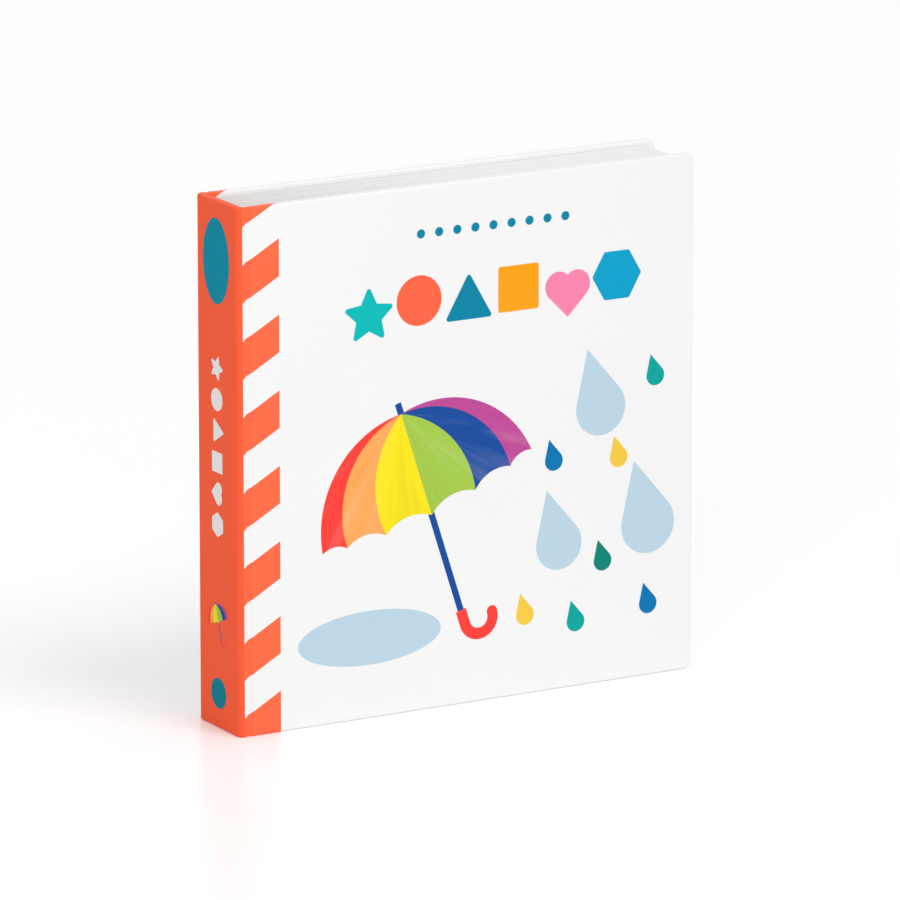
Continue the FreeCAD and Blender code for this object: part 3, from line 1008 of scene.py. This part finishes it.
@dataclass
class PageBlock:
    """Thick leaves glued face to face, each a hair out of line with the next."""

    leaf_count: int = 7
    arris: float = 0.16 * MM
    corner: float = 0.8 * MM
    steps: int = 4
    uneven: float = 0.05 * MM
    seed: int = 4
    level_from: float = 0.9

    def build(self) -> list[Object]:
        """Make the leaves in place of the solid block.

        Returns:
            The block of leaves.
        """
        low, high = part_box("page_block")
        pitch = (high.y - low.y) / self.leaf_count
        leaf = self._leaf(low, high, pitch)
        carrier = placed("leaf_carrier", bpy.data.meshes.new("leaf_carrier"))
        modifier = carrier.modifiers.new("leaves", "NODES")
        modifier.node_group = self._tree()
        sizes = {"Leaf": leaf, "Leaf Count": self.leaf_count, "Leaf Pitch": pitch,
                 "Unevenness": self.uneven, "Seed": self.seed}
        for socket in modifier.node_group.interface.items_tree:
            if socket.in_out == "INPUT":
                modifier[socket.identifier] = sizes[socket.name]
        graph = bpy.context.evaluated_depsgraph_get()
        mesh = bpy.data.meshes.new_from_object(carrier.evaluated_get(graph), depsgraph=graph)
        mesh.name = "page_leaves"
        for helper in (carrier, leaf):
            bpy.data.objects.remove(helper)
        leaves = placed("page_leaves", mesh)
        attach(leaves, "page_block_and_spine")
        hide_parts("page_block")
        return [leaves]

    def _leaf(self, low: Vector, high: Vector, pitch: float) -> Object:
        """One leaf with soft arrises, in the place of the first.

        Args:
            low: The block's lowest corner.
            high: The block's highest corner.
            pitch: The leaf's thickness.

        Returns:
            The leaf.
        """
        bend = [math.pi / 2 * step / self.steps for step in range(self.steps + 1)]
        front = [(self.arris * (1 - math.sin(a)), self.arris * (1 - math.cos(a))) for a in bend]
        profile = [(2 * self.arris, 0.0)] + front
        profile += [(inset, pitch - depth) for inset, depth in reversed(profile)]
        shape = bmesh.new()
        rings = [[shape.verts.new((x, low.y + depth, z)) for x, z in self._outline(low, high, inset)]
                 for inset, depth in profile]
        for ring, other in zip(rings, rings[1:]):
            for number, vert in enumerate(ring):
                beside = (number + 1) % len(ring)
                shape.faces.new([vert, other[number], other[beside], ring[beside]])
        shape.faces.new(rings[0])
        shape.faces.new(rings[-1])
        bmesh.ops.recalc_face_normals(shape, faces=shape.faces)
        return finished("leaf", shape, (LEAF_EDGE,))

    def _outline(self, low: Vector, high: Vector, inset: float) -> list[Pair]:
        """The leaf's outline with its fore corners rounded.

        Args:
            low: The block's lowest corner.
            high: The block's highest corner.
            inset: How far inside the leaf's edge the line runs.

        Returns:
            Points as pairs of x and z.
        """
        inset += self.uneven
        radius = self.corner - inset
        fore = high.x - inset - radius
        points = [(low.x + inset, high.z - inset), (low.x + inset, low.z + inset)]
        for middle, first in ((low.z + inset + radius, -90), (high.z - inset - radius, 0)):
            for step in range(self.steps + 1):
                angle = math.radians(first + 90 * step / self.steps)
                points.append((fore + radius * math.cos(angle), middle + radius * math.sin(angle)))
        return points

    def _tree(self) -> NodeTree:
        """The geometry tree that stacks the leaves.

        Returns:
            The tree, with its inputs named.
        """
        tree = bpy.data.node_groups.new("stacked_leaves", "GeometryNodeTree")
        nodes = Nodes(tree)
        kinds = {"Leaf": "Object", "Leaf Count": "Int", "Leaf Pitch": "Float", "Unevenness": "Float",
                 "Seed": "Int"}
        for name, kind in kinds.items():
            tree.interface.new_socket(name, in_out="INPUT", socket_type=f"NodeSocket{kind}")
        tree.interface.new_socket("Geometry", in_out="OUTPUT", socket_type="NodeSocketGeometry")
        given = nodes.add("NodeGroupInput", {}, {}).outputs
        along = nodes.add("ShaderNodeCombineXYZ", {}, {1: given["Leaf Pitch"]}).outputs[0]
        line = nodes.add("GeometryNodeMeshLine", {"mode": "OFFSET"},
                         {"Count": given["Leaf Count"], "Offset": along})
        reach = Value(nodes, given["Unevenness"])
        ends = [nodes.add("ShaderNodeCombineXYZ", {}, {0: reach * sign, 2: reach * sign}).outputs[0]
                for sign in (-1.0, 1.0)]
        jitter = nodes.add("FunctionNodeRandomValue", {"data_type": "FLOAT_VECTOR"},
                           {0: ends[0], 1: ends[1], "Seed": given["Seed"]})
        moved = nodes.add("GeometryNodeSetPosition", {},
                          {"Geometry": line.outputs[0], "Offset": jitter.outputs[0]})
        leaf = nodes.add("GeometryNodeObjectInfo", {}, {"Object": given["Leaf"]})
        stacked = nodes.add("GeometryNodeInstanceOnPoints", {},
                            {"Points": moved.outputs[0], "Instance": leaf.outputs["Geometry"]})
        real = nodes.add("GeometryNodeRealizeInstances", {}, {0: stacked.outputs[0]})
        edges = nodes.add("GeometryNodeSetMaterial", {},
                          {"Geometry": real.outputs[0], "Material": LEAF_EDGE.material()})
        normal = nodes.add("GeometryNodeInputNormal", {}, {}).outputs[0]
        facing = Value(nodes, nodes.add("ShaderNodeSeparateXYZ", {}, {0: normal}).outputs[1])
        level = facing.maths("ABSOLUTE", facing) > self.level_from
        flats = {"Geometry": edges.outputs[0], "Selection": level, "Material": LEAF_FACE.material()}
        faces = nodes.add("GeometryNodeSetMaterial", {}, flats)
        nodes.add("NodeGroupOutput", {}, {0: faces.outputs[0]})
        return tree


# Print


PALE_INK = (188, 214, 229)


@dataclass
class Print:
    """Fields of colour on the front cover and the spine."""

    book: ClosedBook
    tip: Pair = (49.81 * MM, 83.2 * MM)
    lean: float = math.radians(-18)
    colours: dict[str, Colour] = field(default_factory=lambda: {
        "front_star": (0, 188, 186), "front_disc": (252, 104, 70), "front_triangle": (0, 134, 166),
        "front_square": (251, 164, 20), "front_heart": (250, 134, 176), "front_hexagon": (0, 162, 205),
        "front_dots": (0, 134, 166), "front_puddle": PALE_INK, "front_drops_pale": PALE_INK,
        "front_drops_teal": (0, 166, 157), "front_drops_yellow": (248, 204, 70),
        "front_drops_blue": (0, 118, 180), "front_drops_green": (0, 132, 118),
        "spine_label": (0, 140, 167), "spine_disc": (0, 130, 154), "spine_shapes": (240, 238, 236),
    })
    umbrella: dict[str, Colour] = field(default_factory=lambda: {
        "red": (252, 66, 58), "orange": (252, 170, 92), "yellow": (250, 230, 30), "lime": (166, 202, 76),
        "blue": (22, 76, 158), "purple": (192, 76, 152),
    })

    def build(self) -> list[Object]:
        """Dress the printed motifs.

        Returns:
            No new pieces.
        """
        for node, colour in self.colours.items():
            sheen = SPINE_SHEEN if "spine" in node else FRONT_SHEEN
            dress(node, Laminate(f"ink_{node}", colour, FILM_ROUGHNESS, sheen))
        tip = (self.book.spine_x + self.tip[0], self.tip[1])
        for name, colour in self.umbrella.items():
            large = Canopy(f"ink_canopy_{name}", colour, FILM_ROUGHNESS, tip=tip, lean=self.lean)
            small = Laminate(f"ink_spine_{name}", colour, FILM_ROUGHNESS, SPINE_SHEEN)
            dress(f"front_umbrella_{name}", large)
            dress(f"spine_umbrella_{name}", small)
        for part, colour in (("shaft", self.umbrella["blue"]), ("grip", self.umbrella["red"])):
            for place in ("front", "spine"):
                dress(f"{place}_umbrella_{part}", Laminate(f"ink_{part}", colour, FILM_ROUGHNESS))
        return []


# Studio


@dataclass
class Studio:
    """A white floor, an even light and the camera."""

    middle_height: float = 0.0725
    distance: float = 2.4103
    azimuth: float = math.radians(-29.96)
    elevation: float = math.radians(14.11)
    framing: Pair = (0.754 * MM, -4.176 * MM)
    sensor: float = 36.0
    lens: float = 356.64
    clip: Pair = (0.05, 50.0)
    ambient: float = 0.62
    key_level: float = 0.30
    key_from: Triple = (0.06, -0.17, 0.24)
    key_softness: float = math.radians(30)
    fill_level: float = 0.16
    fill_from: Triple = (-0.44, -0.60, 0.42)
    fill_size: float = 0.5
    floor_size: float = 6.0
    floor_parts: int = 8
    floor_tone: float = 0.93
    floor_cloud: float = 0.4
    floor_gloss: Pair = (0.28, 0.04)
    floor_sheen: float = 0.2
    floor_glow: float = 0.13

    def build(self) -> list[Object]:
        """Make the floor, the lights and the camera.

        Returns:
            The floor.
        """
        self._camera()
        self._key()
        self._fill()
        self._world()
        bpy.context.scene.view_settings.view_transform = "Standard"
        return [self._floor()]

    def _camera(self) -> None:
        """Stand the camera where the photograph was taken."""
        camera = placed("camera", bpy.data.cameras.new("camera"))
        camera.data.sensor_width, camera.data.lens = self.sensor, self.lens
        camera.data.clip_start, camera.data.clip_end = self.clip
        a, e = self.azimuth, self.elevation
        back = Vector((math.sin(a) * math.cos(e), -math.cos(a) * math.cos(e), math.sin(e)))
        right = Vector((math.cos(a), math.sin(a), 0))
        up = back.cross(right)
        place = Vector((0, 0, self.middle_height)) + self.distance * back
        place += self.framing[0] * right + self.framing[1] * up
        camera.matrix_world = Matrix.Translation(place) @ Matrix((right, up, back)).transposed().to_4x4()
        bpy.context.scene.camera = camera

    def _lamp(self, name: str, kind: str, energy: float, offset: Vector) -> Light:
        """Hang a lamp that shines at the book's middle.

        Args:
            name: The lamp's name.
            kind: The type of light.
            energy: How strong it is.
            offset: Its place, from the book's middle.

        Returns:
            The light.
        """
        lamp = placed(name, bpy.data.lights.new(name, kind))
        lamp.data.energy = energy
        lamp.location = offset + Vector((0, 0, self.middle_height))
        lamp.rotation_mode = "QUATERNION"
        lamp.rotation_quaternion = offset.to_track_quat("Z", "Y")
        return lamp.data

    def _key(self) -> None:
        """Hang a large soft lamp in front of the cover and above it."""
        light = self._lamp("key_lamp", "SUN", math.pi * self.key_level, Vector(self.key_from))
        light.angle = self.key_softness

    def _fill(self) -> None:
        """Hang a near lamp to the front of the spine, which leaves the fore edge a little darker."""
        offset = Vector(self.fill_from)
        energy = self.fill_level * math.pi ** 2 * offset.length_squared
        light = self._lamp("fill_lamp", "AREA", energy, offset)
        light.shape, light.size = "DISK", self.fill_size

    def _world(self) -> None:
        """White to the camera and in reflections, and an even light on surfaces."""
        world = bpy.data.worlds.new("studio")
        bpy.context.scene.world = world
        world.use_nodes = True
        nodes = Nodes(world.node_tree)
        seen = self._seen(nodes)
        strength = seen * (1 - self.ambient) + self.ambient
        sky = nodes.add("ShaderNodeBackground", {}, {"Color": (1, 1, 1, 1), "Strength": strength})
        nodes.add("ShaderNodeOutputWorld", {}, {"Surface": sky.outputs[0]})

    @staticmethod
    def _seen(nodes: Nodes) -> Value:
        """1 for camera, glossy and transmission rays.

        Args:
            nodes: The nodes of a material or world.

        Returns:
            The value.
        """
        rays = nodes.add("ShaderNodeLightPath", {}, {}).outputs
        camera, glossy, through = (Value(nodes, rays[f"Is {kind} Ray"])
                                   for kind in ("Camera", "Glossy", "Transmission"))
        either = camera.maths("MAXIMUM", camera, glossy)
        return either.maths("MAXIMUM", either, through)

    def _floor(self) -> Object:
        """A glossy white floor that mirrors the book faintly.

        Returns:
            The floor.
        """
        shape = bmesh.new()
        parts, half = self.floor_parts, self.floor_size / 2
        bmesh.ops.create_grid(shape, x_segments=parts, y_segments=parts, size=half)
        mesh = bpy.data.meshes.new("floor")
        shape.to_mesh(mesh)
        shape.free()
        floor = placed("floor", mesh)
        material = bpy.data.materials.new("floor_white")
        material.use_nodes = True
        nodes = Nodes(material.node_tree)
        place = nodes.add("ShaderNodeTexCoord", {}, {}).outputs["Object"]
        least, more = self.floor_gloss
        blur = nodes.noise(place, self.floor_cloud) * more + least
        tone = (self.floor_tone,) * 3 + (1.0,)
        inputs = {"Base Color": tone, "Roughness": blur, "Specular IOR Level": self.floor_sheen}
        board = nodes.add("ShaderNodeBsdfPrincipled", {}, inputs)
        glow = nodes.add("ShaderNodeEmission", {}, {"Strength": self._seen(nodes) * self.floor_glow})
        both = nodes.add("ShaderNodeAddShader", {}, {0: board.outputs[0], 1: glow.outputs[0]})
        nodes.add("ShaderNodeOutputMaterial", {}, {"Surface": both.outputs[0]})
        mesh.materials.append(material)
        return floor


def main() -> None:
    """Build the book part by part, then the studio around it."""
    logging.basicConfig(level=logging.INFO, format="%(message)s")
    book = ClosedBook.from_frame()
    back = CaseHalf(book, Side.BACK, Stripes(slope=-0.56, foot=9.3 * MM, full_tail=False))
    parts = [SpineCase(), CaseHalf(book, Side.FRONT), back, PageBlock(), Print(book), Studio()]
    for part in parts:
        for piece in part.build():
            LOG.info("%s: %s with %d faces", type(part).__name__, piece.name, len(piece.data.polygons))


if __name__ == "__main__":
    main()
